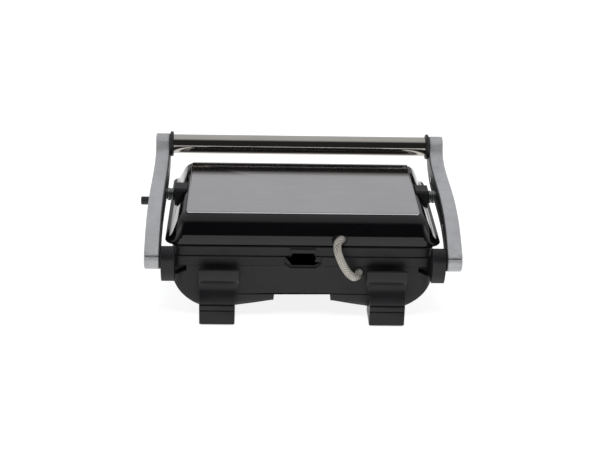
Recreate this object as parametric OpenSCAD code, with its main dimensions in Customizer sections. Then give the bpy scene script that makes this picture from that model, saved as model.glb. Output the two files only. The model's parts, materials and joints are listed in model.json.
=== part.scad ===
// Contact grill: a ribbed plate in a low housing, a heated lid hung between two arms, and a tube handle.
// Millimetres, +Z up. The origin is on the table under the middle of the grill; the handle side faces -Y.

/* [Lower housing] */
// Width of the housing at its rim
base_w = 276; // [240:2:300]
// Length of the housing from the rear wall to the front
base_len = 178; // [150:2:220]
// Height of the line where lid and base meet
part_z = 76; // [66:1:90]
// Height of the rim band round the housing
rim_h = 10.4; // [6:0.2:16]
// Wall thickness of the moulded housings
wall = 2.6; // [2:0.1:4]
// Width of the channel under the housing
channel_w = 59; // [40:1:80]
// Height of the channel above the table
channel_h = 32.6; // [24:0.2:38]

/* [Plates] */
// Width of each ribbed plate
plate_w = 230; // [200:2:236]
// Length of each ribbed plate
plate_len = 146; // [120:2:150]
// Height of the ribs above the plate floor
rib_h = 4; // [2:0.5:6]
// Distance from one rib to the next
rib_pitch = 11; // [8:1:18]

/* [Lid] */
// Width of the lid at its flared skirt
skirt_w = 290; // [270:2:294]
// Width of the flat panel on top of the lid
panel_w = 246; // [200:2:256]
// Height of the lid above the meeting line
lid_h = 41; // [34:0.5:50]
// Height of the lid pivot above the table
pivot_z = 107; // [101:1:109]
// Distance of the lid pivot in front of the origin
pivot_fwd = 4; // [-10:1:20]

/* [Handle frame] */
// Width over the outer faces of the two arms
frame_w = 330; // [320:2:360]
// Thickness of each arm casting
arm_t = 15.2; // [10:0.1:18]
// Height of the hinge axis above the table
hinge_z = 79; // [73:1:85]
// Distance of the hinge axis behind the origin
hinge_back = 96; // [92:1:104]
// Radius of the round hinge end of each arm
hub_r = 12; // [10:0.5:14]
// Radius of the hinge pins
pin_r = 4; // [3:0.5:5]
// Diameter of the handle tube
tube_d = 22; // [18:1:28]
// Height of the handle tube above the table
handle_z = 130; // [125:1:140]
// Distance of the handle tube in front of the origin
handle_fwd = 96; // [92:1:110]

/* [Legs and outlet] */
// Width of each rear leg
leg_w = 42; // [30:1:50]
// Distance of each rear leg from the middle
leg_x = 88; // [70:0.5:100]
// Distance each rear leg stands out behind the wall
leg_out = 14; // [11:1:20]
// Width of the six-sided grease outlet
hex_w = 27.4; // [20:0.2:34]
// Height of the six-sided grease outlet
hex_h = 14; // [10:0.5:18]

/* [Power hose] */
// Outer diameter of the hose from base to lid
hose_d = 8.4; // [7:0.5:11]

/* [Hidden] */

$fn = 96;
eps = 0.01;
fit = 0.05;
gap = 0.3;

rear_y = 86;
front_y = rear_y - base_len;
mid_y = (rear_y + front_y) / 2;
floor_z = 15;
rim_bot = part_z - rim_h;
half_w = base_w / 2;
bowl_x = 69;
bowl_z = 78.6;
bowl_r = 75;
hinge_y = hinge_back;
keel_z = 23.5;
tower_z = 54.5;
feet_y = -44;
leg_trim = 4.5;
foot_w = leg_w - leg_trim;
foot_x = leg_x + leg_trim / 2;
handle_y = -handle_fwd;
pivot_y = -pivot_fwd;
arm_out = frame_w / 2;
arm_in = arm_out - arm_t;
liner_t = 1;
liner_in = arm_in - liner_t;
tower_out = 148;
tower_in = 134;
hex_z = part_z - 2.5;
hex_top = part_z + 4.3;
hex_bot = hex_top - hex_h;
plate_y0 = mid_y - plate_len / 2 - 2;
lid_bot = part_z + 0.3;
frame_top = part_z + 10.6;
skirt_z = part_z + 11.4;
lid_top = part_z + lid_h;
lid_rear = 83;
lid_front = -94;
open_w = plate_w + 5;
open_len = plate_len + 5;
screw_x = 96;
screw_y1 = 52;
screw_y0 = -66;
hose_x = -59.5;
hose_z = 58.5;
lid_hole = [-40.5, 82.4, 95];
lid_tilt = 24;

// Puts a shape drawn in the plane across the grill (x right, y up) along the Y axis.
module along_y(y0, y1) {
    translate([0, y1, 0]) rotate([90, 0, 0]) linear_extrude(y1 - y0) children();
}

// Puts a side profile drawn as (Y, Z) along the X axis.
module along_x(x0, x1) {
    translate([x0, 0, 0]) rotate([90, 0, 90]) linear_extrude(x1 - x0) children();
}

module rounded(x0, y0, x1, y1, r) {
    translate([x0 + r, y0]) square([x1 - x0 - 2 * r, y1 - y0]);
    translate([x0, y0 + r]) square([x1 - x0, y1 - y0 - 2 * r]);
    translate([x0 + r, y0 + r]) circle(r);
    translate([x1 - r, y0 + r]) circle(r);
    translate([x0 + r, y1 - r]) circle(r);
    translate([x1 - r, y1 - r]) circle(r);
}

module at_corners() {
    for (x = [-screw_x, screw_x]) for (y = [screw_y0, screw_y1]) translate([x, y, 0]) children();
}

// Outline of the housing seen from behind: upright sides, wide round lower corners, and the channel.
function bowl_corner(d, s) =
    let (r = bowl_r - d, high = acos((half_w - d - bowl_x) / r), low = asin((bowl_z - floor_z - d) / r))
    [for (k = [0:12]) let (a = high + (low - high) * (s > 0 ? k : 12 - k) / 12)
        [s * (bowl_x + r * cos(a)), bowl_z - r * sin(a)]];

module bowl_across(d, ch) {
    difference() {
        polygon(concat([[half_w - d, rim_bot + d]], bowl_corner(d, 1), bowl_corner(d, -1),
            [[-half_w + d, rim_bot + d]]));
        if (ch) polygon([[-72 - d, 0], [-72 - d, floor_z], [-channel_w / 2 - 3 - d, keel_z + d],
            [-channel_w / 2 - 1 - d, keel_z + d], [-channel_w / 2 - d, channel_h + d],
            [channel_w / 2 + d, channel_h + d], [channel_w / 2 + 1 + d, keel_z + d],
            [channel_w / 2 + 3 + d, keel_z + d], [72 + d, floor_z], [72 + d, 0]]);
    }
}

// Outline of the housing seen from the side: a rear wall that turns under at a crease, and a round front.
module bowl_side(d) {
    difference() {
        polygon([[front_y + d, floor_z + d], [front_y + d, rim_bot + d], [rear_y - d, rim_bot + d],
            [rear_y - d, channel_h + 0.2], [rear_y - 1 - d, channel_h - 6], [rear_y - 3.2 - d, channel_h - 13],
            [rear_y - 5.6 - d, floor_z + d]]);
        translate([front_y + 36, floor_z + 36]) difference() {
            translate([-37, -38]) square([37, 38]);
            circle(36 - d);
        }
    }
}

module bowl(d) {
    intersection() {
        along_y(front_y - 5, rear_y + 5) bowl_across(d, true);
        along_x(-half_w - 5, half_w + 5) bowl_side(d);
        translate([0, 0, floor_z - 2]) linear_extrude(80)
            rounded(-half_w + d, front_y + d, half_w - d, rear_y - d, 9 - d);
    }
}

module hex_opening(grow) {
    w = hex_w / 2 + grow;
    t = hex_top + grow;
    b = hex_bot - grow;
    polygon([[-w, hex_z], [-w + 2.6, t], [w - 2.6, t], [w, hex_z], [w - 2.8, b], [-w + 2.8, b]]);
}

// Shallow pocket round the lower half of the grease outlet.
module outlet_pocket() {
    polygon([[-19.5, part_z + 1], [-19.5, part_z - 7.6], [-14, part_z - 12.8], [14, part_z - 12.8],
        [19.5, part_z - 7.6], [19.5, part_z + 1]]);
}

// Recess in each rear corner of the housing, beside the hinge tower.
module corner_recess(grow, top) {
    for (s = [-1, 1]) scale([s, 1]) polygon([[122.5 - grow, top], [122.5 - grow, 59.5 - grow],
        [half_w + 1, 52 - grow], [half_w + 1, top]]);
}

module base_housing() {
    color("#2b2b2d") difference() {
        union() {
            difference() {
                bowl(0);
                bowl(wall);
            }
            intersection() {
                bowl(0.8);
                along_y(rear_y - 11, rear_y + 1) corner_recess(wall, rim_bot);
            }
            intersection() {
                bowl(0);
                at_corners() cylinder(r = 6, h = part_z - 11);
            }
        }
        at_corners() {
            translate([0, 0, floor_z - 1]) cylinder(r = 2.2, h = 60);
            translate([0, 0, floor_z - 1]) cylinder(r = 4.2, h = 7);
        }
        along_y(rear_y - 8, rear_y + 1) corner_recess(0, rim_bot + 1);
        translate([hose_x, rear_y + 1, hose_z]) rotate([90, 0, 0]) cylinder(r = 5.9, h = 10);
        translate([-88, 0, floor_z - 1]) cylinder(r = 7.1, h = 8);
        for (i = [0:7]) translate([78, -20 + i * 8, floor_z - 1]) cube([24, 3, 6]);
        along_y(rear_y - 2, rear_y + 1) outlet_pocket();
    }
}

module base_rim() {
    color("#323234") difference() {
        translate([0, 0, rim_bot]) linear_extrude(part_z - rim_bot)
            rounded(-half_w - 0.4, front_y - 0.4, half_w + 0.4, rear_y + 0.4, 9.4);
        along_y(rear_y - 2, rear_y + 2) outlet_pocket();
        translate([-half_w + wall, front_y + wall, rim_bot - 1])
            cube([base_w - 2 * wall, base_len - 2 * wall, rim_h - 2]);
        translate([-open_w / 2, plate_y0 - 2.5, rim_bot]) cube([open_w, open_len, 30]);
        along_y(60, rear_y + 4) hex_opening(0);
        translate([-11.6, 60, hex_bot]) cube([23.2, 24, 20]);
    }
}

// Side outline of a rear leg: a hooked lip, a waist for the wound cord, a sloping flange and the foot.
module leg_side() {
    y1 = rear_y + leg_out;
    polygon([[rear_y, 34], [rear_y, 45], [rear_y + 0.6, 44], [rear_y + 4.5, 44], [rear_y + 5, 50],
        [y1 - 5, 54], [y1 - 3.4, 66],
        [y1 - 0.8, 66.5], [y1, 65.8], [y1, 55], [y1 - 1.2, 53.2], [y1 - 4.6, 50], [y1 - 6.4, 46.5],
        [y1 - 6.6, 42.5], [y1 - 5.4, 38.5], [y1 - 3, 35.4], [y1, 28], [y1, 26.4], [y1 - 1.6, 26],
        [y1 - 1.6, 24.8], [y1, 24.4], [y1, 19], [y1 - 0.8, 18.7], [y1 - 0.8, 18.1], [y1, 17.8], [y1, 2.8],
        [y1 - 2, 0.8], [68, 0.8], [66, 2.8], [66, floor_z], [rear_y - 5.6, floor_z], [rear_y - 3.2, channel_h - 13],
        [rear_y - 1, channel_h - 6], [rear_y, channel_h + 0.2]]);
}

// The same leg seen from behind: the lip is wider than the foot on the side of the channel.
module leg_across() {
    x0 = leg_x - leg_w / 2;
    polygon([[x0 + leg_trim, 0], [x0 + leg_w, 0], [x0 + leg_w, 70], [x0, 70], [x0, 50], [x0 + leg_trim, 34]]);
}

module rear_leg(s) {
    color("#3a3a3c") scale([s, 1, 1]) difference() {
        intersection() {
            along_x(leg_x - leg_w / 2, leg_x + leg_w / 2) leg_side();
            along_y(60, 110) leg_across();
        }
        for (e = [-1, 1]) translate([foot_x + e * (foot_w / 2 + 0.6), rear_y, 0.8]) rotate([0, 45, 0])
            cube([3.4, 60, 3.4], center = true);
        translate([foot_x - foot_w / 2 + 3, 69, 0]) cube([foot_w - 6, 28, 4]);
    }
}

module foot_pads() {
    color("#1c1c1d") {
        for (s = [-1, 1]) translate([s * foot_x - foot_w / 2 + 3.2, 69.2, 0]) cube([foot_w - 6.4, 27.6, 4]);
        for (s = [-1, 1]) translate([s * 90, feet_y, 0]) cylinder(r = 11, h = 3);
    }
}

module front_feet() {
    color("#2b2b2d") for (s = [-1, 1]) translate([s * 90, feet_y, 3]) cylinder(r = 12, h = floor_z - 3);
}

module tower_side() {
    translate([hinge_y, hinge_z]) circle(hub_r);
    polygon([[hinge_y - hub_r + 0.9, hinge_z - 3], [hinge_y - hub_r + 0.9, tower_z + 2], [hinge_y - 8, tower_z],
        [hinge_y + 6, tower_z], [hinge_y + 9.6, tower_z + 6], [hinge_y + hub_r, tower_z + 14],
        [hinge_y + hub_r, hinge_z]]);
}

module hinge_tower(s) {
    color("#29292b") difference() {
        scale([s, 1, 1]) union() {
            along_x(tower_in, tower_out) tower_side();
            translate([half_w, 50, tower_z]) cube([6, 40, rim_bot - tower_z - 0.3]);
        }
        translate([s * (tower_in + 3), hinge_y, hinge_z]) rotate([0, s * 90, 0])
            cylinder(r = pin_r + fit, h = 60);
    }
}

module hinge_pin(s) {
    color("#8b8d8f") translate([0, hinge_y, hinge_z]) rotate([0, s * 90, 0])
        translate([0, 0, tower_in + 3.2]) cylinder(r = pin_r, h = arm_out - 4 - tower_in - 3.2);
}

// Cross-section of a ribbed plate: a slab and its comb of ribs.
module plate_across(up) {
    n = floor((plate_w - 20) / rib_pitch);
    w = n * rib_pitch;
    square([plate_w, 5]);
    for (i = [0:n]) translate([(plate_w - w) / 2 + i * rib_pitch, 0])
        polygon([[-2.6, 4.9], [-1.3, 5 + rib_h], [1.3, 5 + rib_h], [2.6, 4.9]]);
}

module lower_plate() {
    z0 = part_z - 10;
    color("#3b3c3e") difference() {
        union() {
            translate([-plate_w / 2, 0, z0]) along_y(plate_y0 + 4, plate_y0 + plate_len - 9) plate_across(true);
            difference() {
                translate([-plate_w / 2, plate_y0, z0]) cube([plate_w, plate_len, 9.6]);
                translate([-plate_w / 2 + 3, plate_y0 + 3, z0 + 4.5]) cube([plate_w - 6, plate_len - 6, 9]);
            }
            at_corners() translate([0, 0, z0 - 1]) cylinder(r = 6, h = 2);
        }
        translate([-8, plate_y0 + plate_len - 6, z0 + 3.5]) cube([16, 40, 10]);
        at_corners() translate([0, 0, z0 - 2]) cylinder(r = 1.9, h = 5);
    }
}

// Spout that carries the run-off from the notch in the plate to the outlet.
module grease_spout() {
    color("#3b3c3e") difference() {
        translate([-10, plate_y0 + plate_len, hex_bot]) cube([20, 8, part_z - 2 - hex_bot]);
        translate([-8, plate_y0 + plate_len - 1, part_z - 6.5]) cube([16, 10, 10]);
    }
}

// A U-shaped tube heater lying flat, with its two ends at the rear.
module u_heater(z, r, wide, y0, y1) {
    translate([0, 0, z]) {
        for (s = [-1, 1]) {
            translate([s * wide, y0 + 24, 0]) rotate([-90, 0, 0]) cylinder(r = r, h = y1 - y0 - 24);
            translate([s * (wide - 24), y0 + 24, 0]) rotate([0, 0, s == 1 ? -90 : 180])
                rotate_extrude(angle = 90) translate([24, 0]) circle(r);
            translate([s * wide, y1 - eps, 0]) rotate([-90, 0, 0]) cylinder(r = 1.6, h = 9);
        }
        translate([-wide + 24, y0, 0]) rotate([0, 90, 0]) cylinder(r = r, h = 2 * wide - 48);
    }
}

module lower_heater() {
    color("#6f7173") u_heater(part_z - 13.7, 3.5, 78, -58, 46);
}

module heat_shield(z, t) {
    color("#9b9d9e") translate([0, 0, z]) difference() {
        linear_extrude(t) rounded(-108, -80, 108, 66, 8);
        at_corners() translate([0, 0, -1]) cylinder(r = 6.4, h = t + 2);
        translate([30, 10, -1]) cylinder(r = 11, h = t + 2);
        for (y = [-40:20:40]) translate([-64, y - 2, -1]) cube([48, 4, t + 2]);
    }
}

module lower_heat_shield() {
    heat_shield(part_z - 23, 1);
}

module thermostat(z, dir) {
    translate([0, 0, z]) scale([1, 1, dir]) {
        color("#d9d4c8") cylinder(r = 8, h = 7);
        color("#b8babc") translate([0, 0, 7]) cylinder(r = 9, h = 1.4);
        color("#b8babc") for (s = [-1, 1]) translate([s * 5 - 1.5, -0.4, -6]) cube([3, 0.8, 7]);
    }
}

module lower_thermostat() {
    translate([30, 10, 0]) thermostat(part_z - 18.8, 1);
}

module thermal_fuse() {
    color("#c9b98e") translate([-20, -20, part_z - 14]) rotate([0, 90, 0]) {
        cylinder(r = 3, h = 22);
        translate([0, 0, -8]) cylinder(r = 0.8, h = 38);
    }
}

module terminal_block() {
    color("#d8d6d0") translate([-107, 16, floor_z + wall + 0.1]) difference() {
        cube([34, 14, 12]);
        for (i = [0:2]) translate([6 + i * 11, 7, 2]) cylinder(r = 2.4, h = 20);
    }
}

module hose_grommet(len) {
    difference() {
        cylinder(r = 5.8, h = len);
        translate([0, 0, -1]) cylinder(r = hose_d / 2 + 2 * gap, h = len + 2);
    }
}

module base_hose_grommet() {
    color("#1d1d1f") translate([hose_x, rear_y - 4, hose_z]) rotate([-90, 0, 0]) hose_grommet(4.6);
}

module mains_cord_gland() {
    color("#1d1d1f") translate([-88, 0, floor_z + 4]) rotate([180, 0, 0]) difference() {
        union() {
            cylinder(r = 7, h = 4.01);
            translate([0, 0, 4]) cylinder(r1 = 8.6, r2 = 6.4, h = 6);
        }
        translate([0, 0, 3]) cylinder(r = 3.2, h = 20);
    }
}

module base_screws() {
    color("#77797b") at_corners() {
        translate([0, 0, floor_z + 3]) cylinder(r = 3.8, h = 2.6);
        translate([0, 0, floor_z + 5]) cylinder(r = 1.8, h = part_z - 7.2 - floor_z - 5);
    }
}

// Route of the hose, as round-number points from inside the base wall to inside the lid.
hose_route = [[hose_x, 78, hose_z], [hose_x, 86, 58.3], [-57.8, 90.5, 57], [-55, 94, 57], [-51.6, 96.5, 59],
    [-46.6, 99, 65], [-41.4, 101, 74], [-37, 101, 84], [-34.8, 98.5, 91.5], [-35.4, 93.8, 96.4],
    [-38.6, 88, 97.2], [-40.5, 82.4, 95], [-40.5, 76, 92.1]];
hose_n = len(hose_route);
function knot(i) = hose_route[max(0, min(hose_n - 1, i))];
function smooth_at(a, b, c, d, t) = 0.5 * ((2 * b) + (c - a) * t + (2 * a - 5 * b + 4 * c - d) * t * t
    + (3 * b - a - 3 * c + d) * t * t * t);
hose_path = [for (i = [0:hose_n - 2]) for (k = [0:2])
    smooth_at(knot(i - 1), knot(i), knot(i + 1), knot(i + 2), k / 3), hose_route[hose_n - 1]];
hose_rings = len(hose_path);
hose_sides = 12;
function unit(v) = v / norm(v);
function heading(i) = unit(hose_path[min(hose_rings - 1, i + 1)] - hose_path[max(0, i - 1)]);
function across(i) = unit(cross(heading(i), [1, 0, 0.001]));
hose_points = [for (i = [0:hose_rings - 1]) for (j = [0:hose_sides - 1])
    let (u = across(i), v = cross(heading(i), u), a = 360 * j / hose_sides)
    hose_path[i] + hose_d / 2 * (cos(a) * u + sin(a) * v)];
hose_faces = concat([[for (j = [0:hose_sides - 1]) j]],
    [for (i = [0:hose_rings - 2]) for (j = [0:hose_sides - 1])
        [i * hose_sides + j, (i + 1) * hose_sides + j, (i + 1) * hose_sides + (j + 1) % hose_sides,
            i * hose_sides + (j + 1) % hose_sides]],
    [[for (j = [hose_sides - 1:-1:0]) (hose_rings - 1) * hose_sides + j]]);

module power_hose() {
    color("#b9b4ac") polyhedron(points = hose_points, faces = hose_faces, convexity = 6);
}

module lid_corners() {
    for (x = [-131.5, 131.5]) for (y = [-66, 60]) translate([x, y, 0]) children();
}

module lid_frame() {
    color("#2e2e30") difference() {
        union() {
            translate([0, 0, lid_bot]) linear_extrude(frame_top - lid_bot)
                rounded(-half_w + 1, front_y + 1, half_w - 1, rear_y - 1, 9);
            translate([-13.3, rear_y - 2, lid_bot]) cube([26.6, 3, part_z + 9 - lid_bot]);
        }
        translate([-open_w / 2, plate_y0 - 2.5, 0]) cube([open_w, open_len, frame_top - 1]);
        translate([-open_w / 2 + 6, plate_y0 + 4, 0]) cube([open_w - 12, open_len - 13, 200]);
        along_y(60, rear_y + 4) hex_opening(0);
        lid_corners() {
            translate([0, 0, lid_bot - 1]) cylinder(r = 2, h = 20);
            translate([0, 0, lid_bot - 1]) cylinder(r = 3.8, h = 4);
        }
    }
}

function corner_arc(cx, cy, r, from) =
    [for (k = [0:8]) [cx + r * cos(from + k * 11.25), cy + r * sin(from + k * 11.25)]];

function lid_ring(z, d, side, front, rear, r) =
    let (x = skirt_w / 2 - side - d, y0 = lid_front + front + d, y1 = lid_rear - rear - d, c = r - d)
    [for (p = concat(corner_arc(x - c, y1 - c, c, 0), corner_arc(c - x, y1 - c, c, 90),
        corner_arc(c - x, y0 + c, c, 180), corner_arc(x - c, y0 + c, c, 270))) [p[0], p[1], z]];

// The lid's outer form, flared at the skirt, rising to the flat top; d sets every wall in by that much.
module lid_form(d) {
    rings = [
        lid_ring(skirt_z - (d > 0 ? 0.6 : 0), d, 0, 0, 0, 12),
        lid_ring(skirt_z + 1.8, d, 0, 0, 0, 12),
        lid_ring(skirt_z + 4, d, 4, 3, 0.2, 12),
        lid_ring(skirt_z + 8, d, 7, 5, 1, 12),
        lid_ring(skirt_z + 14, d, 9.7, 8, 3.6, 12),
        lid_ring(lid_top - 8, d, 13.6, 11, 9, 11),
        lid_ring(lid_top - 4 - d / 2, d, 16.4, 14, 13, 10),
        lid_ring(lid_top - 2.4 - 0.8 * d, d, 18.2, 16, 15.5, 10),
        lid_ring(lid_top - 1.2 - d, d, 20.5, 18.5, 18, 9),
    ];
    n = len(rings[0]);
    last = (len(rings) - 1) * n;
    polyhedron(
        points = [for (ring = rings) each ring],
        faces = concat(
            [[for (i = [0:n - 1]) i]],
            [for (k = [0:n:last - n]) for (i = [0:n - 1]) let (j = (i + 1) % n)
                each [[k + i, k + n + i, k + n + j], [k + i, k + n + j, k + j]]],
            [[for (i = [n - 1:-1:0]) last + i]]));
}

module lid_cover() {
    color("#161617") difference() {
        union() {
            difference() {
                lid_form(0);
                lid_form(wall);
            }
            lid_corners() translate([0, 0, frame_top]) cylinder(r = 5.5, h = 10);
        }
        lid_corners() translate([0, 0, frame_top - 1]) cylinder(r = 1.8, h = 7);
        translate(lid_hole) rotate([lid_tilt - 90, 0, 0]) cylinder(r = 5.9, h = 16, center = true);
        for (x = [48, 72]) translate([x, lid_front - 5, pivot_z - 4]) rotate([-90, 0, 0])
            cylinder(r = 3.3, h = 40);
        for (s = [-1, 1]) translate([s * 110, pivot_y, pivot_z]) rotate([0, s * 90, 0])
            cylinder(r = pin_r + fit, h = 40);
        translate([-12.4, lid_rear - 8, skirt_z - 2]) cube([24.8, 20, 3.4]);
    }
}

module lid_top_panel() {
    color("#98979a") translate([0, 0, lid_top - 1.15]) difference() {
        linear_extrude(1.7) rounded(-panel_w / 2, lid_front + 22.5, panel_w / 2, lid_rear - 18.6, 3);
        translate([0, 0, 1.2]) linear_extrude(2)
            rounded(-panel_w / 2 + 1.4, lid_front + 23.9, panel_w / 2 - 1.4, lid_rear - 20, 2);
    }
}

module upper_plate() {
    z1 = frame_top - 1;
    color("#3b3c3e") difference() {
        union() {
            translate([plate_w / 2, 0, z1]) rotate([0, 180, 0])
                along_y(plate_y0 + 4, plate_y0 + plate_len - 9) plate_across(true);
            difference() {
                translate([-plate_w / 2, plate_y0, lid_bot + 0.1]) cube([plate_w, plate_len, z1 - lid_bot - 0.1]);
                translate([-plate_w / 2 + 3, plate_y0 + 3, 0]) cube([plate_w - 6, plate_len - 6, z1 - 4.5]);
            }
        }
        translate([-9, plate_y0 + plate_len - 8, 0]) cube([18, 40, z1 - 3]);
        for (x = [-100, 100]) for (y = [-60, 50]) translate([x, y, z1 - 3]) cylinder(r = 1.9, h = 5);
    }
}

module upper_heater() {
    color("#6f7173") u_heater(frame_top + 3.2, 3.5, 78, -58, 46);
}

module upper_heat_shield() {
    heat_shield(frame_top + 10.6, 1);
}

module upper_thermostat() {
    translate([30, 10, 0]) thermostat(frame_top + 8.2, -1);
}

module lid_lamp_board() {
    color("#3f6b4a") translate([40, -70, pivot_z - 8]) cube([40, 1.6, 8]);
}

module lamp(x, c) {
    color(c) translate([x, -75, pivot_z - 4]) rotate([90, 0, 0]) {
        cylinder(r = 3, h = 12.6);
        translate([0, 0, 2]) cylinder(r = 4.6, h = 1.4);
    }
}

module power_lamp() {
    lamp(48, "#b03a30");
}

module ready_lamp() {
    lamp(72, "#4c9a55");
}

module pivot_boss(s) {
    color("#2b2b2d") difference() {
        scale([s, 1, 1]) along_x(125, 139) translate([pivot_y, pivot_z])
            polygon([[-11, -9], [-11, 8], [-8.5, 10.5], [8.5, 10.5], [11, 8], [11, -9]]);
        translate([s * 110, pivot_y, pivot_z]) rotate([0, s * 90, 0]) cylinder(r = pin_r + fit, h = 40);
        lid_form(-0.05);
    }
}

module lid_hose_grommet() {
    color("#1d1d1f") translate(lid_hole) rotate([lid_tilt - 90, 0, 0]) translate([0, 0, -3.5]) hose_grommet(4.5);
}

module lid_screws() {
    color("#77797b") lid_corners() {
        translate([0, 0, lid_bot + 0.6]) cylinder(r = 3.4, h = 2.2);
        translate([0, 0, lid_bot + 2.7]) cylinder(r = 1.7, h = 12);
    }
}

// Outline of an arm as (Y, Z), from the hinge over the top to the handle and back underneath.
arm_top = [[106, 85], [98.5, 91.2], [87, 98.2], [75, 104.4], [60, 110], [43, 114], [22, 117], [0, 118],
    [-30, 118.4], [-55, 119.2], [-70, 121.8], [-81, 126.6], [-87.5, 135]];
arm_under = [[-105, 122], [-97, 113], [-88, 106.4], [-74, 101], [-55, 97.6], [-30, 96.5], [0, 96],
    [22, 95.4], [43, 93.4], [60, 89.6], [72, 85], [80, 79.6], [86, 72.5]];
function rounded_line(p) = [for (i = [0:len(p) - 2]) for (k = [0:3])
    smooth_at(p[max(0, i - 1)], p[i], p[i + 1], p[min(len(p) - 1, i + 2)], k / 4), p[len(p) - 1]];

module arm_side(d) {
    difference() {
        union() {
            polygon(concat(rounded_line(arm_top), rounded_line(arm_under)));
            translate([hinge_y, hinge_z]) circle(hub_r);
            translate([handle_y, handle_z]) circle(hub_r);
        }
        if (d == 0) translate([hinge_y, hinge_z]) rotate(33) translate([hub_r - 1.2, -0.7]) square([4, 1.4]);
    }
}

module arm(s) {
    color("#a2a3a5") difference() {
        scale([s, 1, 1]) along_x(arm_in, arm_out) arm_side(0);
        translate([s * 100, hinge_y, hinge_z]) rotate([0, s * 90, 0])
            cylinder(r = pin_r + fit, h = arm_out - 100 - 3);
        translate([s * 100, pivot_y, pivot_z]) rotate([0, s * 90, 0])
            cylinder(r = pin_r + fit, h = arm_out - 100 - 3);
        translate([s * 100, handle_y, handle_z]) rotate([0, s * 90, 0]) cylinder(r = 3, h = arm_out - 100 - 4);
        if (s == 1) translate([arm_out - 8, 12, 106]) rotate([0, 90, 0]) cylinder(r = 4.8, h = 20);
    }
}

module arm_liner(s) {
    color("#1a1a1b") difference() {
        scale([s, 1, 1]) along_x(liner_in, arm_in) intersection() {
            arm_side(1);
            translate([-200, 0]) square([400, 300]);
        }
        for (p = [[hinge_y, hinge_z], [pivot_y, pivot_z]]) translate([s * 100, p[0], p[1]])
            rotate([0, s * 90, 0]) cylinder(r = pin_r + fit, h = 60);
        translate([s * 100, handle_y, handle_z]) rotate([0, s * 90, 0]) cylinder(r = 3.05, h = 60);
        for (y = [60, -50]) translate([s * 100, y, y > 0 ? 100 : 108]) rotate([0, s * 90, 0])
            cylinder(r = 1.6, h = 60);
    }
}

collar_t = 3.4;
tube_half = liner_in - collar_t;

module handle_tube() {
    color("#a59f97") translate([-tube_half, handle_y, handle_z]) rotate([0, 90, 0]) difference() {
        cylinder(r = tube_d / 2, h = 2 * tube_half);
        translate([0, 0, -1]) cylinder(r = tube_d / 2 - 1.2, h = 2 * tube_half + 2);
    }
}

module handle_collars() {
    color("#141415") for (s = [-1, 1]) translate([s * tube_half, handle_y, handle_z]) rotate([0, s * 90, 0])
        difference() {
            union() {
                cylinder(r = 14.5, h = collar_t);
                translate([0, 0, -14]) cylinder(r = tube_d / 2 - 1.5, h = 14.01);
            }
            translate([0, 0, -15]) cylinder(r = 2.7, h = 30);
        }
}

module handle_screws() {
    color("#77797b") for (s = [-1, 1]) translate([0, handle_y, handle_z]) rotate([0, s * 90, 0]) {
        translate([0, 0, tube_half - 18]) cylinder(r = 2.6, h = arm_out - 5 - tube_half + 18);
        translate([0, 0, tube_half - 20]) cylinder(r = 4.4, h = 4);
    }
}

module pivot_pins() {
    color("#8b8d8f") for (s = [-1, 1]) translate([0, pivot_y, pivot_z]) rotate([0, s * 90, 0])
        translate([0, 0, 127]) cylinder(r = pin_r, h = arm_out - 4 - 127);
}

module pivot_spacers() {
    color("#70776f") for (s = [-1, 1]) translate([0, pivot_y, pivot_z]) rotate([0, s * 90, 0]) difference() {
        translate([0, 0, 139.3]) cylinder(r = 7, h = liner_in - 139.3);
        translate([0, 0, 130]) cylinder(r = pin_r + fit, h = 30);
    }
}

module arm_cover_screws() {
    color("#77797b") for (s = [-1, 1]) for (y = [60, -50]) translate([0, y, y > 0 ? 100 : 108])
        rotate([0, s * 90, 0]) {
            translate([0, 0, liner_in - 0.4]) cylinder(r = 1.5, h = liner_t + 0.4);
            translate([0, 0, liner_in - 0.8]) cylinder(r = 3, h = 0.8);
        }
}

module lock_button() {
    color("#111112") translate([arm_out - 3.6, 12, 106]) rotate([0, 90, 0]) {
        cylinder(r = 4.6, h = 12.4);
        translate([0, 0, 12.39]) cylinder(r1 = 4.6, r2 = 3.9, h = 0.8);
    }
}

module lock_spring() {
    color("#9a9c9e") translate([arm_out - 7.9, 12, 106]) rotate([0, 90, 0]) difference() {
        cylinder(r = 3.2, h = 4.2);
        translate([0, 0, -1]) cylinder(r = 2.4, h = 8);
    }
}

base_housing();
base_rim();
rear_leg(-1);  // rear_leg_left
rear_leg(1);  // rear_leg_right
foot_pads();
front_feet();
hinge_tower(-1);  // hinge_tower_left
hinge_tower(1);  // hinge_tower_right
hinge_pin(-1);  // hinge_pin_left
hinge_pin(1);  // hinge_pin_right
lower_plate();
grease_spout();
lower_heater();
lower_heat_shield();
lower_thermostat();
thermal_fuse();
terminal_block();
base_hose_grommet();
mains_cord_gland();
base_screws();
power_hose();
lid_frame();
lid_cover();
lid_top_panel();
upper_plate();
upper_heater();
upper_heat_shield();
upper_thermostat();
lid_lamp_board();
power_lamp();
ready_lamp();
pivot_boss(-1);  // pivot_boss_left
pivot_boss(1);  // pivot_boss_right
lid_hose_grommet();
lid_screws();
arm(-1);  // arm_left
arm(1);  // arm_right
arm_liner(-1);  // arm_liner_left
arm_liner(1);  // arm_liner_right
handle_tube();
handle_collars();
handle_screws();
pivot_pins();
pivot_spacers();
arm_cover_screws();
lock_button();
lock_spring();
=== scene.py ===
# %% [markdown]
# # Contact grill, seen from its hinge side
# The grill is a heated lid hung between two cast arms over a low black housing.
# The CAD frame gives every place and size; this lesson gives each piece its surface and finish.
# Shapes are numpy arrays of points, so one formula makes a whole piece at once.

# %% Load the frame
import json
import math
import bmesh
import bpy
import numpy as np
from mathutils import Matrix, Vector


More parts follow.
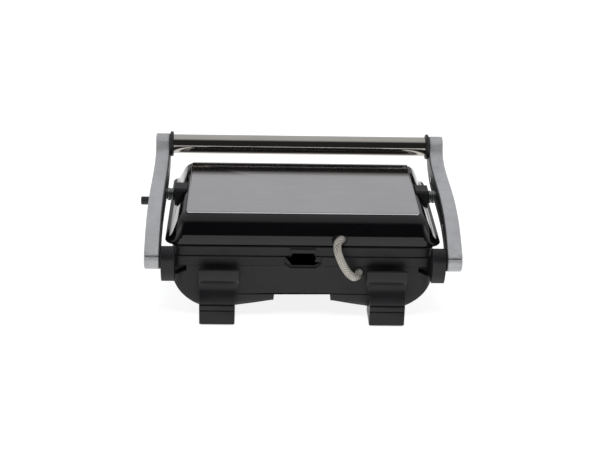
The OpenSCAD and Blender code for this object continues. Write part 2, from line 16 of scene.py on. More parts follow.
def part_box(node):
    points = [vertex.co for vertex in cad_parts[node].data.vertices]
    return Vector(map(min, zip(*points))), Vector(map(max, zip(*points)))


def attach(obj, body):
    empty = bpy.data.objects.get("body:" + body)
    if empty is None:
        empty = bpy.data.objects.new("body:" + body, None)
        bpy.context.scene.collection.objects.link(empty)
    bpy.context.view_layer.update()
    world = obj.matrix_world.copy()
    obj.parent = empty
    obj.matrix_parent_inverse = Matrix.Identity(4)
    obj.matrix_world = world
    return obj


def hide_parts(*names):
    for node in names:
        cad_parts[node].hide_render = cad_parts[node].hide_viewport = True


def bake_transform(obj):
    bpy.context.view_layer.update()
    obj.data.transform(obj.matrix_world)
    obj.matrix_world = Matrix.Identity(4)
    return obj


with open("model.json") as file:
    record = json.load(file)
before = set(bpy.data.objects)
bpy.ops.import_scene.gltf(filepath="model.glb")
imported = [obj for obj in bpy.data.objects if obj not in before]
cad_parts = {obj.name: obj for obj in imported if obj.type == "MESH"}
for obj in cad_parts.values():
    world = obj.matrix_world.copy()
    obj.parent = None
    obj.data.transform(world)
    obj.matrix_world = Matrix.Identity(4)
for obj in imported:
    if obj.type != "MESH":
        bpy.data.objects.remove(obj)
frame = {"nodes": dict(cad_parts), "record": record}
NODES = frame["nodes"]
RECORD = frame["record"]
BODY_OF = {n: b for b, members in RECORD["behaviour"]["bodies"].items() for n in members}
SLOT_OF = {row["node"]: row["material_slot"] for row in RECORD["subparts"]}
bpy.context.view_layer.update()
MM = 0.001

# %% [markdown]
# ## The camera
# The grill is looked at from behind and above, a hand's breadth off its middle, with a long lens.
# A long lens keeps the two arms almost parallel.
# The camera is turned by a few degrees about its own axis, so the rim runs slightly downhill.

# %% Camera
TURN, DOWN, ROLL = math.radians(2.2), math.radians(25), math.radians(1.52)
LENS_MM = 78.96
FAR_CLIP = 50
eye = Vector((0.0517, 1.3225, 0.6901))
look = Vector((-math.sin(TURN) * math.cos(DOWN), -math.cos(TURN) * math.cos(DOWN), -math.sin(DOWN)))
level = Vector((-math.cos(TURN), math.sin(TURN), 0))
rise = level.cross(look)
right = level * math.cos(ROLL) + rise * math.sin(ROLL)
camera = bpy.data.objects.new("camera", bpy.data.cameras.new("camera"))
camera.data.lens = LENS_MM
camera.data.clip_end = FAR_CLIP
camera.matrix_world = Matrix((right, right.cross(look), -look)).transposed().to_4x4()
camera.location = eye
bpy.context.scene.collection.objects.link(camera)
bpy.context.scene.camera = camera
print("camera at", tuple(round(v, 3) for v in eye), "looking", tuple(round(v, 3) for v in look))

# %% [markdown]
# ## Helpers that make surfaces
# Every piece is a grid of points: rows run along the piece and columns run round it.
# One helper joins neighbours into quads and closes both ends, so a piece is watertight from the start.
# The others work out the grid: a piece turned on a lathe, a flat outline carried sideways, or a tube on a route.

# %% Grid of points to mesh
def put_piece(name, grid, node, smooth=40, body=None):
    """A mesh from a (rows, columns, 3) array. Point (r, c) joins (r, c+1), (r+1, c+1) and (r+1, c);
    columns always close on themselves, and the first and last rows are closed by one flat face each."""
    rows, cols = grid.shape[:2]
    r = np.arange(rows - 1)[:, None] * cols
    c = np.arange(cols)[None, :]
    c1 = (c + 1) % cols
    quads = np.stack(np.broadcast_arrays(r + c, r + c1, r + cols + c1, r + cols + c), -1)
    faces = quads.reshape(-1, 4).tolist()
    faces += [list(range(cols))[::-1], list(range((rows - 1) * cols, rows * cols))]
    mesh = bpy.data.meshes.new(name)
    mesh.from_pydata(grid.reshape(-1, 3).tolist(), [], faces)
    face_outwards(mesh)
    return settle(name, mesh, node, smooth, body)


def face_outwards(mesh):
    """Turns every face of a closed mesh to the outside."""
    bm = bmesh.new()
    bm.from_mesh(mesh)
    bmesh.ops.recalc_face_normals(bm, faces=bm.faces)
    bm.to_mesh(mesh)
    bm.free()


def settle(name, mesh, node, smooth, body=None):
    """Puts a mesh in the scene as a piece that stands for a CAD node, on its body and with its finish."""
    mesh.polygons.foreach_set("use_smooth", np.ones(len(mesh.polygons), bool))
    mesh.set_sharp_from_angle(angle=math.radians(smooth))
    piece = bpy.data.objects.new(name, mesh)
    bpy.context.scene.collection.objects.link(piece)
    mesh.materials.append(FINISH[SLOT_OF[node]])
    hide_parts(node)
    if body != "blend":
        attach(piece, body or BODY_OF[node])
    return piece


# %% Turned pieces
def turned(profile, centre, axis, around=96):
    """Lathe work: each (distance along the axis, radius) pair is carried round the axis at even angles."""
    profile = np.asarray(profile, float) * MM
    axis = np.asarray(axis, float) / np.linalg.norm(axis)
    helper = np.array([0.0, 0.0, 1.0]) if abs(axis[2]) < 0.9 else np.array([1.0, 0.0, 0.0])
    u = np.cross(axis, helper) / np.linalg.norm(np.cross(axis, helper))
    v = np.cross(axis, u)
    turn = np.linspace(0, 2 * np.pi, around, endpoint=False)
    ring = np.cos(turn)[:, None] * u + np.sin(turn)[:, None] * v
    return (np.asarray(centre) + profile[:, :1, None] * axis + profile[:, 1:, None] * ring[None]).reshape(
        len(profile), around, 3)


def eased_profile(points, radius=0.4, steps=4):
    """An open line with each inner corner replaced by a short parabola that starts and ends a radius away."""
    p = np.asarray(points, float)
    a, b, c = p[:-2], p[1:-1], p[2:]
    back, ahead = a - b, c - b
    lb, la = np.linalg.norm(back, axis=1, keepdims=True), np.linalg.norm(ahead, axis=1, keepdims=True)
    start = b + back / lb * np.minimum(radius, lb * 0.45)
    end = b + ahead / la * np.minimum(radius, la * 0.45)
    t = np.linspace(0, 1, steps)[None, :, None]
    bends = (1 - t) ** 2 * start[:, None] + 2 * t * (1 - t) * b[:, None] + t ** 2 * end[:, None]
    return np.concatenate([p[:1], bends.reshape(-1, 2), p[-1:]])


# %% Flat outlines carried sideways
def smooth_line(points, steps):
    """A curve through the points: between two of them it follows the cubic whose slope at each is half the
    step from the point before to the point after."""
    p = np.asarray(points, float)
    ends = np.concatenate([p[:1], p, p[-1:]])
    a, b, c, d = ends[:-3, None], ends[1:-2, None], ends[2:-1, None], ends[3:, None]
    t = (np.arange(steps) / steps)[None, :, None]
    line = 0.5 * (2 * b + (c - a) * t + (2 * a - 5 * b + 4 * c - d) * t ** 2 + (3 * b - a - 3 * c + d) * t ** 3)
    return np.concatenate([line.reshape(-1, p.shape[1]), p[-1:]])


def slab(outline, plain, x0, x1, edge, steps=5):
    """A side outline (y, z) in mm carried from x0 to x1. Near both ends it is drawn in by edge times (1 - sin a)
    while x moves by edge times (1 - cos a), which rounds the two long edges. The way in is the normal of plain,
    the same outline without its groove, so that the drawn-in line never crosses itself."""
    p, smooth = np.asarray(outline, float), np.asarray(plain, float)
    along = np.roll(smooth, -1, 0) - np.roll(smooth, 1, 0)
    normal = np.stack([along[:, 1], -along[:, 0]], 1)
    normal /= np.linalg.norm(normal, axis=1, keepdims=True)
    area = 0.5 * np.sum(p[:, 0] * np.roll(p[:, 1], -1) - np.roll(p[:, 0], -1) * p[:, 1])
    normal *= np.sign(area)
    turn = np.linspace(0, np.pi / 2, steps)
    inset = edge * (1 - np.sin(turn))
    move = edge * (1 - np.cos(turn))
    x = np.concatenate([x0 + np.sign(x1 - x0) * move, x1 - np.sign(x1 - x0) * move[::-1]])
    inset = np.concatenate([inset, inset[::-1]])
    yz = p[None] - inset[:, None, None] * normal[None]
    return np.concatenate([np.broadcast_to(x[:, None, None], yz.shape[:2] + (1,)), yz], 2) * MM


# %% A CAD piece with eased edges
def eased_copy(node, width, smooth=42):
    """The CAD node's own shape with its edges rounded by a Bevel, for moulded pieces full of cut-outs."""
    bm = bmesh.new()
    bm.from_mesh(NODES[node].data)
    bmesh.ops.remove_doubles(bm, verts=bm.verts, dist=2e-6)
    bmesh.ops.dissolve_limit(bm, angle_limit=math.radians(0.6), verts=bm.verts, edges=bm.edges)
    mesh = bpy.data.meshes.new(node + "_eased")
    bm.to_mesh(mesh)
    bm.free()
    piece = settle(node + "_eased", mesh, node, smooth)
    bevel = piece.modifiers.new("eased edges", "BEVEL")
    bevel.width = width * MM
    bevel.segments = 2
    bevel.limit_method = "ANGLE"
    bevel.angle_limit = math.radians(40)
    bevel.use_clamp_overlap = False
    bevel.harden_normals = True


# %% [markdown]
# ## Finishes
# The grill has few materials: moulded black plastic in three glosses, satin grey sheet, cast silver arms,
# a brushed tube, bare steel fixings, a coated plate, rubber and a braided sleeve.
# Each is one Principled shader with its own tone, gloss and surface relief, all worked out from noise in metres.
# The relief uses a real depth, so a moulded grain of a few hundredths of a millimetre stays that shallow.

# %% Node helper
def add(tree, kind, sockets=None, **settings):
    """Adds a node, sets its options, and fills or links the named sockets."""
    made = tree.nodes.new(kind)
    for key, value in settings.items():
        setattr(made, key, value)
    for key, value in (sockets or {}).items():
        if isinstance(value, bpy.types.NodeSocket):
            tree.links.new(value, made.inputs[key])
        else:
            made.inputs[key].default_value = value
    return made


def noise(tree, vector, scale, detail=3.0, rough=0.55, stretch=(1, 1, 1)):
    """Noise with features about 1/scale metres across, drawn out along an axis by a smaller stretch."""
    moved = add(tree, "ShaderNodeMapping", {"Vector": vector, "Scale": stretch})
    return add(tree, "ShaderNodeTexNoise",
               {"Vector": moved.outputs[0], "Scale": scale, "Detail": detail, "Roughness": rough}).outputs["Fac"]


def between(tree, fac, low, high, start=0.3, end=0.7):
    """A value that goes from low to high while fac goes from start to end."""
    return add(tree, "ShaderNodeMapRange", {"Value": fac, "From Min": start, "From Max": end,
                                            "To Min": low, "To Max": high}).outputs[0]


def blend_tones(tree, fac, dark, light, start=0.35, end=0.65):
    """A colour that goes from dark to light while fac goes from start to end."""
    ramp = add(tree, "ShaderNodeValToRGB", {"Fac": fac})
    ramp.color_ramp.elements[0].position, ramp.color_ramp.elements[1].position = start, end
    ramp.color_ramp.elements[0].color, ramp.color_ramp.elements[1].color = (*dark, 1), (*light, 1)
    return ramp.outputs[0]


# %% One recipe for every solid finish
def surface_finish(name, dark, light, rough, metal=0.0, cloud=25.0, grain=1400.0, depth=0.02,
                   stretch=(1, 1, 1), coat=0.0, specular=0.5, coat_rough=0.06):
    """A finish whose tone drifts slowly between dark and light, whose gloss varies over a few millimetres,
    and whose grain stands depth millimetres proud; stretch draws the grain out into brush lines."""
    paint = bpy.data.materials.new(name)
    paint.use_nodes = True
    tree = paint.node_tree
    tree.nodes.clear()
    where = add(tree, "ShaderNodeTexCoord").outputs["Object"]
    drift = noise(tree, where, cloud, 4.0)
    fine = noise(tree, where, grain, 3.0, 0.6, stretch)
    smear = noise(tree, where, cloud * 5, 5.0, 0.65, stretch)
    both = add(tree, "ShaderNodeMath", {0: drift, 1: fine}, operation="ADD").outputs[0]
    tone = blend_tones(tree, add(tree, "ShaderNodeMath", {0: both, 1: 0.5}, operation="MULTIPLY").outputs[0],
                       dark, light, 0.3, 0.7)
    relief = add(tree, "ShaderNodeBump", {"Height": fine, "Strength": 0.6, "Distance": depth * MM})
    shader = add(tree, "ShaderNodeBsdfPrincipled", {
        "Base Color": tone, "Metallic": metal, "Roughness": between(tree, smear, rough[0], rough[1]),
        "Normal": relief.outputs[0], "Coat Weight": coat, "Coat Roughness": coat_rough,
        "Specular IOR Level": specular})
    add(tree, "ShaderNodeOutputMaterial", {"Surface": shader.outputs[0]})
    print("finish", name, "grain", grain, "per m, depth", depth, "mm")
    return paint


# %% [markdown]
# The braided sleeve has a pattern that follows the hose, so it reads the piece's own UV map.
# Two families of diagonal strands cross it; the colour is a painted highlight along each strand's crown and painted
# shade in the gaps between strands.

# %% Braided sleeve
def braid_finish(name):
    """Strands from two crossing diagonal waves of the UV map: their larger one is on top, and gives both the
    relief and the tone, a painted highlight on the crowns and painted shade in the gaps; slow noise along the hose
    varies the colour."""
    paint = bpy.data.materials.new(name)
    paint.use_nodes = True
    tree = paint.node_tree
    tree.nodes.clear()
    uv = add(tree, "ShaderNodeUVMap", uv_map="along").outputs[0]
    split = add(tree, "ShaderNodeSeparateXYZ", {0: uv})
    strands, pitch = 8.0, 35.0
    around = add(tree, "ShaderNodeMath", {0: split.outputs[0], 1: strands}, operation="MULTIPLY").outputs[0]
    length = add(tree, "ShaderNodeMath", {0: split.outputs[1], 1: pitch}, operation="MULTIPLY").outputs[0]
    waves = []
    for way in ("ADD", "SUBTRACT"):
        slant = add(tree, "ShaderNodeMath", {0: around, 1: length}, operation=way).outputs[0]
        turn = add(tree, "ShaderNodeMath", {0: slant, 1: 2 * math.pi}, operation="MULTIPLY").outputs[0]
        waves.append(add(tree, "ShaderNodeMath", {0: turn}, operation="SINE").outputs[0])
    top = add(tree, "ShaderNodeMath", {0: waves[0], 1: waves[1]}, operation="MAXIMUM").outputs[0]
    where = add(tree, "ShaderNodeTexCoord").outputs["Object"]
    drift = noise(tree, where, 160.0, 4.0)
    # strand height plus slow drift sets the tone below: painted highlight on the crowns, painted shade in the gaps
    lift = add(tree, "ShaderNodeMath", {0: top, 1: between(tree, drift, -0.35, 0.35)}, operation="ADD").outputs[0]
    tone = blend_tones(tree, between(tree, lift, 0, 1, -0.9, 1.1), (0.06, 0.052, 0.043), (0.62, 0.59, 0.53),
                       0.25, 0.85)
    relief = add(tree, "ShaderNodeBump", {"Height": top, "Strength": 0.7, "Distance": 0.00025})
    shader = add(tree, "ShaderNodeBsdfPrincipled", {
        "Base Color": tone, "Roughness": between(tree, drift, 0.28, 0.45), "Normal": relief.outputs[0],
        "Metallic": 0.6})
    add(tree, "ShaderNodeOutputMaterial", {"Surface": shader.outputs[0]})
    return paint


# %% The finish of every slot
FINISH = {
    "housing_black": surface_finish("moulded_black", (0.008, 0.0075, 0.0085), (0.013, 0.0125, 0.014), (0.36, 0.48),
                                    grain=1700, depth=0.03, specular=0.29),
    "cover_black": surface_finish("polished_black", (0.0015, 0.0015, 0.002), (0.003, 0.003, 0.0035), (0.06, 0.11),
                                  grain=260, depth=0.004, specular=0.42),
    "panel_grey": surface_finish("satin_panel", (0.39, 0.38, 0.39), (0.47, 0.46, 0.47), (0.08, 0.12), metal=1.0,
                                 cloud=9, grain=900, depth=0.004, stretch=(0.06, 1, 1)),
    "cast_silver": surface_finish("cast_silver", (0.34, 0.342, 0.352), (0.46, 0.462, 0.472), (0.3, 0.42), metal=0.3,
                                  cloud=60, grain=1500, depth=0.015, stretch=(1, 0.2, 0.2)),
    "liner_black": surface_finish("liner_black", (0.009, 0.009, 0.010), (0.016, 0.016, 0.017), (0.4, 0.55),
                                  grain=1500, depth=0.03),
    "tube_steel": surface_finish("brushed_tube", (0.46, 0.43, 0.395), (0.54, 0.51, 0.47), (0.09, 0.11), metal=1.0,
                                 cloud=30, grain=2600, depth=0.006, stretch=(0.03, 1, 1)),
    "pivot_metal": surface_finish("grey_metal", (0.16, 0.175, 0.165), (0.28, 0.30, 0.285), (0.28, 0.4), metal=0.9,
                                  grain=900, depth=0.02),
    "steel": surface_finish("bare_steel", (0.34, 0.34, 0.35), (0.48, 0.48, 0.49), (0.24, 0.36), metal=1.0,
                            grain=1200, depth=0.02, stretch=(0.4, 1, 1)),
    "plate_coating": surface_finish("plate_coating", (0.020, 0.020, 0.021), (0.040, 0.040, 0.042), (0.34, 0.48),
                                    grain=2200, depth=0.05, specular=0.6),
    "heater_sheath": surface_finish("heater_sheath", (0.10, 0.095, 0.09), (0.19, 0.175, 0.16), (0.42, 0.6),
                                    metal=0.8, grain=1200, depth=0.03),
    "shield_steel": surface_finish("shield_steel", (0.40, 0.40, 0.40), (0.55, 0.55, 0.54), (0.25, 0.4), metal=1.0,
                                   grain=700, depth=0.02, stretch=(1, 0.2, 1)),
    "ceramic": surface_finish("ceramic", (0.58, 0.55, 0.49), (0.72, 0.70, 0.64), (0.35, 0.55), grain=2400, depth=0.02),
    "fuse_sleeve": surface_finish("fuse_sleeve", (0.42, 0.33, 0.18), (0.55, 0.45, 0.28), (0.4, 0.55), grain=1800,
                                  depth=0.05),
    "rubber": surface_finish("rubber", (0.008, 0.008, 0.008), (0.016, 0.016, 0.016), (0.6, 0.8), grain=2000,
                             depth=0.04),
    "board_green": surface_finish("board_green", (0.025, 0.10, 0.045), (0.04, 0.16, 0.07), (0.3, 0.45), grain=900,
                                  depth=0.01),
    "lens_red": surface_finish("lens_red", (0.30, 0.012, 0.010), (0.48, 0.03, 0.02), (0.05, 0.12), grain=500,
                               depth=0.01, coat=1.0),
    "lens_green": surface_finish("lens_green", (0.012, 0.22, 0.05), (0.03, 0.38, 0.09), (0.05, 0.12), grain=500,
                                 depth=0.01, coat=1.0),
    "hose_braid": braid_finish("hose_braid"),
}
for node_name, cad_object in NODES.items():
    cad_object.data.materials.clear()
    cad_object.data.materials.append(FINISH[SLOT_OF[node_name]])
print("finishes:", len(FINISH))

# %% [markdown]
# ## The braided hose
# A hose carries the lid's leads out of the base wall, round the hinge line, and into the skirt of the lid.
# It is a tube on one smooth route through round-number points, the same as in the CAD part.
# The sleeve's strands are real relief: two sets of crossing helices raise the surface by a tenth of a millimetre.
# It is in two pieces: a lower part from base to arms and an upper end from arms to lid.

# %% Hose route and relief
HOSE_R = 4.2
RELIEF, STRANDS, STRAND_TURN = 0.14, 8, 2.2
hose_route = np.array([[-59.5, 78, 58.5], [-59.5, 86, 58.3], [-57.8, 90.5, 57], [-55, 94, 57], [-51.6, 96.5, 59],
                       [-46.6, 99, 65], [-41.4, 101, 74], [-37, 101, 84], [-34.8, 98.5, 91.5], [-35.4, 93.8, 96.4],
                       [-38.6, 88, 97.2], [-40.5, 82.4, 95], [-40.5, 76, 92.1]])
STEPS = 22
hose_line = smooth_line(hose_route, STEPS)


def hose_tube(first, last, around=72):
    """Rings round the route from one step to another: each point is the route's point plus the radius along two
    directions square to it, raised where either of two crossing helices has its crown."""
    run = np.concatenate([[0], np.cumsum(np.linalg.norm(np.diff(hose_line, axis=0), axis=1))])
    ahead = np.gradient(hose_line, axis=0)
    ahead /= np.linalg.norm(ahead, axis=1, keepdims=True)
    side = np.cross(ahead, [1.0, 0.0, 0.001])
    side /= np.linalg.norm(side, axis=1, keepdims=True)
    over = np.cross(ahead, side)
    turn = np.linspace(0, 2 * np.pi, around, endpoint=False)
    round_way, long_way = STRANDS * turn, run[:, None] * STRAND_TURN
    crown = np.maximum(np.sin(round_way + long_way), np.sin(round_way - long_way))
    radius = HOSE_R - 0.16 + RELIEF * crown
    rings = hose_line[:, None] + radius[..., None] * (
        np.cos(turn)[None, :, None] * side[:, None] + np.sin(turn)[None, :, None] * over[:, None])
    return rings[first:last + 1] * MM, run[first:last + 1]


def wrap_uv(piece, cols, run):
    """UV map: u goes once round the hose, and v is the distance along it in units of 100 mm."""
    layer = piece.data.uv_layers.new(name="along")
    corner = np.empty(len(piece.data.loops), np.int32)
    piece.data.loops.foreach_get("vertex_index", corner)
    r, c = corner // cols, corner % cols
    start = np.empty(len(piece.data.polygons), np.int32)
    count = np.empty(len(piece.data.polygons), np.int32)
    piece.data.polygons.foreach_get("loop_start", start)
    piece.data.polygons.foreach_get("loop_total", count)
    face = np.repeat(np.arange(len(start)), count)
    wraps = np.maximum.reduceat(c, start) - np.minimum.reduceat(c, start) > cols // 2
    u = np.where(wraps[face] & (c < cols // 2), c + cols, c) / cols
    v = (run[r] - run[0]) * 0.01
    layer.data.foreach_set("uv", np.stack([u, v], 1).astype(np.float32).ravel())


# %% Two hose pieces
join = 8 * STEPS
for name, first, last, pair, start, end in (
        ("hose_lower", 0, join, ("base", "handle_frame"), (-0.0595, 0.0865, 0.058), (-0.0348, 0.0985, 0.0915)),
        ("hose_upper", join, len(hose_line) - 1, ("handle_frame", "lid"), None, None)):
    rings, run = hose_tube(first, last)
    hose = put_piece(name, rings, "power_hose", smooth=75, body="blend")
    wrap_uv(hose, rings.shape[1], run)
    if start is None:
        start, end = hose_line[join] * MM, np.array([-0.0405, 0.0824, 0.095])
    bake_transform(hose)
    print(name, "length", round(float(run[-1] - run[0]), 1), "mm")

# %% [markdown]
# ## The two cast arms
# Each arm is one flat casting: a round hinge end, a bar that climbs over the lid, and a round seat for the tube.
# Its side outline is drawn once, as arcs joined by two smooth curves, and carried sideways by the arm's thickness.
# The long edges are rounded a millimetre, which gives the casting its bright border lines.
# A narrow groove crosses the hinge end, where the real arm has a seam between its hub and its bar.

# %% Arm outline
HINGE_Y, HINGE_Z = 96.0, 79.0
GRIP_Y, GRIP_Z = -96.0, 130.0
HUB_R = 12.0
GROOVE_AT, GROOVE_HALF, GROOVE_DEPTH = 391, 4.6, 2.4
arm_low, arm_high = (np.array(v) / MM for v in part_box("arm_right"))
arm_top = [(98.5, 91.2), (87, 98.2), (75, 104.4), (60, 110), (43, 114), (22, 117), (0, 118), (-30, 118.4),
           (-55, 119.2), (-70, 121.8), (-81, 126.6), (-86.05, 136.71)]
arm_under = [(-105, 122), (-97, 113), (-88, 106.4), (-74, 101), (-55, 97.6), (-30, 96.5), (0, 96), (22, 95.4),
             (43, 93.4), (60, 89.6), (72, 85), (80, 79.6), (86, 72.5)]


def arc(cy, cz, radius, start, end, steps):
    """Points on a circle from one angle to another, in degrees from +Y towards +Z."""
    a = np.radians(np.linspace(start, end, steps))
    r = np.broadcast_to(radius, a.shape)
    return np.stack([cy + r * np.cos(a), cz + r * np.sin(a)], 1)


hub_angles = np.linspace(215, 432, 160)
groove = GROOVE_DEPTH * np.exp(-((hub_angles - GROOVE_AT) / GROOVE_HALF) ** 6)
hub, plain_hub = (arc(HINGE_Y, HINGE_Z, HUB_R - depth, 215, 432, 160) for depth in (groove, 0.0))
grip = arc(GRIP_Y, GRIP_Z, HUB_R, 34, 220, 60)
rest = [smooth_line(arm_top, 8)[:-1], grip, smooth_line(arm_under, 8)[1:-1]]
arm_outline, plain_outline = np.concatenate([hub] + rest), np.concatenate([plain_hub] + rest)
print("arm outline:", len(arm_outline), "points, arm from x", round(arm_low[0], 1), "to", round(arm_high[0], 1))

# %% Arms and their black inner bands
for side, sign in (("left", -1), ("right", 1)):
    casting = slab(arm_outline, plain_outline, sign * arm_low[0], sign * arm_high[0], 1.3)
    put_piece("arm_casting_" + side, casting, "arm_" + side, smooth=50)
    liner_low, liner_high = (np.array(v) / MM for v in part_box("arm_liner_" + side))
    inner, outer = sorted((abs(liner_low[0]), abs(liner_high[0])))
    band = slab(arm_outline, plain_outline, sign * inner, sign * outer, 0.3)
    put_piece("arm_band_" + side, band, "arm_liner_" + side, smooth=50)

# %% [markdown]
# ## The handle tube and its end collars
# The handle is a steel tube of 22 mm, brushed along its length, held between two black collars.
# Turned work suits both: a short profile with eased corners, spun about the tube's axis.

# %% Tube and collars
grip_centre = np.array([0.0, GRIP_Y, GRIP_Z]) * MM
tube_low, tube_high = (np.array(v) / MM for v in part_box("handle_tube"))
tube_end, tube_r = tube_high[0], (tube_high[2] - tube_low[2]) / 2
tube_profile = eased_profile([(-tube_end, tube_r - 1.2), (-tube_end, tube_r), (0, tube_r), (tube_end, tube_r),
                              (tube_end, tube_r - 1.2)], 0.4)
put_piece("handle_tube_brushed", turned(tube_profile, grip_centre, (1, 0, 0), 128), "handle_tube")
collar_r = 14.5
for side, sign in (("left", -1), ("right", 1)):
    collar = eased_profile([(tube_end - 1, 10.4), (tube_end, 10.6), (tube_end, collar_r - 0.6),
                            (tube_end + 1.2, collar_r), (tube_end + 2.4, collar_r),
                            (tube_end + 3.4, collar_r - 0.8), (tube_end + 3.4, 4)], 0.5)
    put_piece("handle_collar_" + side, turned(collar, grip_centre, (sign, 0, 0), 96), "handle_collars")
print("tube of", round(2 * tube_r, 1), "mm,", round(2 * tube_end, 1), "mm long")

# %% [markdown]
# ## Lid pivots
# Each arm holds the lid by a pin through a short turned spacer, with two grooves for a tool to grip.
# Beside the lid the pin goes into a moulded boss.

# %% Pivot spacers
pivot = np.array([0.0, -4.0, 107.0]) * MM
for side, sign in (("left", -1), ("right", 1)):
    spacer = eased_profile([(139.4, 4.2), (139.4, 6.2), (140.4, 7), (142.2, 7), (142.6, 6.2), (143.8, 6.2),
                            (144.2, 7), (146.6, 7), (147.0, 5.6), (148.7, 5.6), (148.7, 4.2)], 0.25)
    put_piece("pivot_spacer_" + side, turned(spacer, pivot, (sign, 0, 0), 72), "pivot_spacers")

# %% [markdown]
# ## The lid cover
# The cover is a polished black shell: a skirt that flares out at the bottom, leaning walls, and a rounded shoulder
# up to a flat top. Its shape is a stack of rounded rectangles, one for each height.
# Heights and insets are smoothed together by one cubic, so reflections run over the shoulder without a break.
# The same stack, drawn in by the wall's thickness, makes the inside, and both join at the skirt's lip.

# %% Rounded rectangles in a stack
SKIRT_Z, LID_TOP, WALL = 87.4, 117.0, 2.6
HALF_SKIRT, LID_FRONT, LID_REAR = 145.0, -94.0, 83.0


def rounded_loops(levels, per_corner=14):
    """For each level (height, inset at the sides, at the front, at the rear, corner radius) a closed loop: four
    quarter circles joined by straight sides. Result: (levels, 4 x per_corner, 3), counter-clockwise from above."""
    z, side, front, rear, r = np.asarray(levels, float).T[:, :, None]
    turn = np.radians(np.linspace(0, 90, per_corner)[None, :] + np.array([0, 90, 180, 270])[:, None]).ravel()[None]
    sx = np.repeat([1, -1, -1, 1], per_corner)[None]
    sy = np.repeat([1, 1, -1, -1], per_corner)[None]
    half = HALF_SKIRT - side
    middle, depth = (LID_REAR - rear + LID_FRONT + front) / 2, (LID_REAR - rear - LID_FRONT - front) / 2
    x = sx * (half - r) + r * np.cos(turn)
    y = middle + sy * (depth - r) + r * np.sin(turn)
    return np.stack([x, y, np.broadcast_to(z, x.shape)], 2) * MM


lid_levels = np.array([
    (SKIRT_Z + 0.3, 0.3, 0.3, 0.15, 12), (SKIRT_Z + 1.8, 0.05, 0.05, 0.05, 12), (SKIRT_Z + 4, 4, 3, 0.2, 12),
    (SKIRT_Z + 8, 7, 5, 0.7, 12), (SKIRT_Z + 14, 9.7, 8, 2.3, 12), (LID_TOP - 8, 13.4, 11, 7.8, 11),
    (LID_TOP - 4.2, 16.2, 13.8, 12.4, 10), (LID_TOP - 2.4, 18.2, 16, 15.4, 10), (LID_TOP - 1.3, 20.5, 18.5, 18, 9)])
outer = smooth_line(lid_levels, 7)
inner = outer[:-6:6].copy()
inner[:, 1:4] += WALL
inner[:, 4] -= WALL
inner[:, 0] = np.minimum(inner[:, 0], LID_TOP - 4.4)
stack = np.concatenate([inner[::-1], [(SKIRT_Z, 1.8, 1.8, 1.8, 10.4), (SKIRT_Z, 0.8, 0.8, 0.8, 11.4)], outer])
put_piece("lid_cover_polished", rounded_loops(stack), "lid_cover", smooth=60)
print("lid cover:", len(stack), "levels")

# %% [markdown]
# ## The grey panel on the lid
# A thin sheet lies on the cover. Its edge is raised by half a millimetre in a narrow border,
# which catches a bright line along the side nearest the eye.

# %% Lid panel
panel_low, panel_high = (np.array(v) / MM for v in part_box("lid_top_panel"))
PANEL_SIDE = HALF_SKIRT - panel_high[0]
PANEL_FRONT, PANEL_REAR = panel_low[1] - LID_FRONT, LID_REAR - panel_high[1]


def panel_level(z, inset, radius=3.0):
    """One level of the panel: its own outline drawn in by the inset."""
    return (z, PANEL_SIDE + inset, PANEL_FRONT + inset, PANEL_REAR + inset, radius - inset)


panel_stack = [panel_level(115.86, 0), panel_level(117.2, 0), panel_level(117.42, 0.08), panel_level(117.52, 0.3),
               panel_level(117.55, 0.55), panel_level(117.53, 0.8), panel_level(117.4, 1.05),
               panel_level(117.18, 1.3), panel_level(117.08, 1.6), panel_level(117.06, 2.2)]
put_piece("lid_panel_sheet", rounded_loops(panel_stack), "lid_top_panel", smooth=60)

# %% [markdown]
# ## Small turned pieces
# The lock button, the lamp lenses and the hose grommets are all lathe work.
# The button has fine rings, so that a finger feels it; each lens is domed.

# %% Button, lenses and grommets
button_low, button_high = (np.array(v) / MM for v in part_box("lock_button"))
button_centre = np.array([0.0, 12.0, 106.0]) * MM
BUTTON_R, RING_DEPTH, RING_STEP = 4.6, 0.22, 0.55
ring_places = np.arange(button_low[0] + 4.2, button_high[0] - 1.0, RING_STEP)
rings = [(x, BUTTON_R - RING_DEPTH * (i % 2)) for i, x in enumerate(ring_places)]
button = [(button_low[0], 2.0), (button_low[0], BUTTON_R)] + rings + [
    (button_high[0] - 0.5, 4.4), (button_high[0], 3.8), (button_high[0], 0.6)]
put_piece("lock_button_ribbed", turned(button, button_centre, (1, 0, 0), 48), "lock_button", smooth=30)
for lamp, colour in (("power_lamp", "red"), ("ready_lamp", "green")):
    low, high = (np.array(v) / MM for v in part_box(lamp))
    centre = np.array([(low[0] + high[0]) / 2, 0, (low[2] + high[2]) / 2]) * MM
    tip = -low[1]
    dome = [(75, 2.6), (77, 3), (77, 4.4), (78.4, 4.4), (78.4, 3), (tip - 1.6, 3), (tip - 0.9, 2.6),
            (tip - 0.3, 1.7), (tip, 0.5)]
    put_piece("lens_" + colour, turned(eased_profile(dome, 0.2), centre, (0, -1, 0), 48), lamp)
LID_TILT = math.radians(24)
for node, centre, axis, low_end, high_end in (
        ("base_hose_grommet", (-59.5, 86, 58.5), (0, 1, 0), -4.0, 0.6),
        ("lid_hose_grommet", (-40.5, 82.4, 95), (0, math.cos(LID_TILT), math.sin(LID_TILT)), -3.5, 1.0)):
    sleeve = eased_profile([(low_end, 4.9), (low_end, 5.75), (high_end - 0.5, 5.75), (high_end, 5.4),
                            (high_end, 5.1), (high_end - 0.5, 4.85), (low_end, 4.85)], 0.15)
    put_piece(node + "_ring", turned(sleeve, np.array(centre) * MM, axis, 64), node, smooth=50)

# %% [markdown]
# ## Moulded pieces with eased edges
# The housing, the rim, the lid's frame, the hinge towers and the legs are full of cut-outs,
# so their CAD shape is kept and a Bevel rounds its edges, as a mould does.

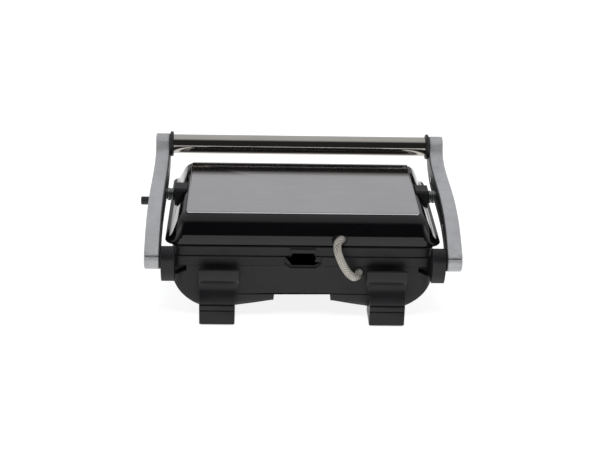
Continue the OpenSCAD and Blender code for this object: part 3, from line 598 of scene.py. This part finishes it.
# %% Eased copies
for node, width in (("base_housing", 0.45), ("base_rim", 0.45), ("lid_frame", 0.4), ("hinge_tower_left", 0.7),
                    ("hinge_tower_right", 0.7), ("rear_leg_left", 0.5), ("rear_leg_right", 0.5),
                    ("pivot_boss_left", 0.6), ("pivot_boss_right", 0.6), ("foot_pads", 0.6), ("front_feet", 0.8),
                    ("mains_cord_gland", 0.3)):
    eased_copy(node, width)
print("eased copies done")

# %% [markdown]
# ## Floor and light
# A pale floor and a wide soft sky: bright above the far side of the grill, pale at both sides, and dim behind
# the eye. Two weak soft boxes at the sides lift the ends of the arms. A stronger box overhead fills the black
# pieces, and reflections don't show it.

# %% Floor
half_floor = 9.0
floor_mesh = bpy.data.meshes.new("floor")
floor_mesh.from_pydata([(x, y, 0) for x, y in ((-half_floor, -half_floor), (half_floor, -half_floor),
                                               (half_floor, half_floor), (-half_floor, half_floor))], [],
                       [(0, 1, 2, 3)])
floor = bpy.data.objects.new("floor", floor_mesh)
bpy.context.scene.collection.objects.link(floor)
floor_paint = bpy.data.materials.new("pale_floor")
floor_paint.use_nodes = True
floor_shader = floor_paint.node_tree.nodes["Principled BSDF"]
floor_shader.inputs["Base Color"].default_value = (0.35, 0.35, 0.35, 1)
floor_shader.inputs["Roughness"].default_value = 0.9
floor_shader.inputs["Specular IOR Level"].default_value = 0.0
floor_shader.inputs["Emission Color"].default_value = (1, 1, 1, 1)
floor_shader.inputs["Emission Strength"].default_value = 0.86
floor_mesh.materials.append(floor_paint)

# %% Sky and soft boxes
world = bpy.data.worlds.new("studio")
world.use_nodes = True
bpy.context.scene.world = world
sky = world.node_tree
sky.nodes.clear()
way = add(sky, "ShaderNodeTexCoord").outputs["Generated"]
lean = add(sky, "ShaderNodeVectorMath", {0: way, 1: (0.0, -0.6, 0.8)}, operation="DOT_PRODUCT").outputs["Value"]
bright = add(sky, "ShaderNodeMapRange", {"Value": lean, "From Min": 0.42, "From Max": 0.82, "To Min": 0.03,
                                         "To Max": 0.72}, interpolation_type="SMOOTHSTEP").outputs[0]
aside = add(sky, "ShaderNodeMath", {0: add(sky, "ShaderNodeSeparateXYZ", {0: way}).outputs[0]},
            operation="ABSOLUTE").outputs[0]
walls = add(sky, "ShaderNodeMapRange", {"Value": aside, "From Min": 0.45, "From Max": 0.8, "To Min": 0.03,
                                        "To Max": 0.6}, interpolation_type="SMOOTHSTEP").outputs[0]
brighter = add(sky, "ShaderNodeMath", {0: bright, 1: walls}, operation="MAXIMUM").outputs[0]
dome = add(sky, "ShaderNodeBackground", {"Color": (0.96, 0.975, 1.0, 1), "Strength": brighter})
add(sky, "ShaderNodeOutputWorld", {"Surface": dome.outputs[0]})


def soft_box(name, place, towards, size, watts):
    """A rectangular area light that faces a point."""
    lamp = bpy.data.lights.new(name, "AREA")
    lamp.shape, lamp.size, lamp.size_y, lamp.energy = "RECTANGLE", size[0], size[1], watts
    stand = bpy.data.objects.new(name, lamp)
    stand.location = place
    stand.rotation_euler = (Vector(towards) - Vector(place)).to_track_quat("-Z", "Y").to_euler()
    bpy.context.scene.collection.objects.link(stand)
    return stand


soft_box("left_box", (1.5, 0.5, 0.7), (0, 0, 0.08), (0.7, 1.1), 2)
soft_box("right_box", (-1.5, 0.5, 0.7), (0, 0, 0.08), (0.7, 1.1), 2)
fill = soft_box("fill_box", (0, 1.1, 2.2), (0, 0, 0.1), (1.2, 0.8), 30)
fill.visible_glossy = False
bpy.context.scene.view_settings.view_transform = "Standard"
print("lights set")
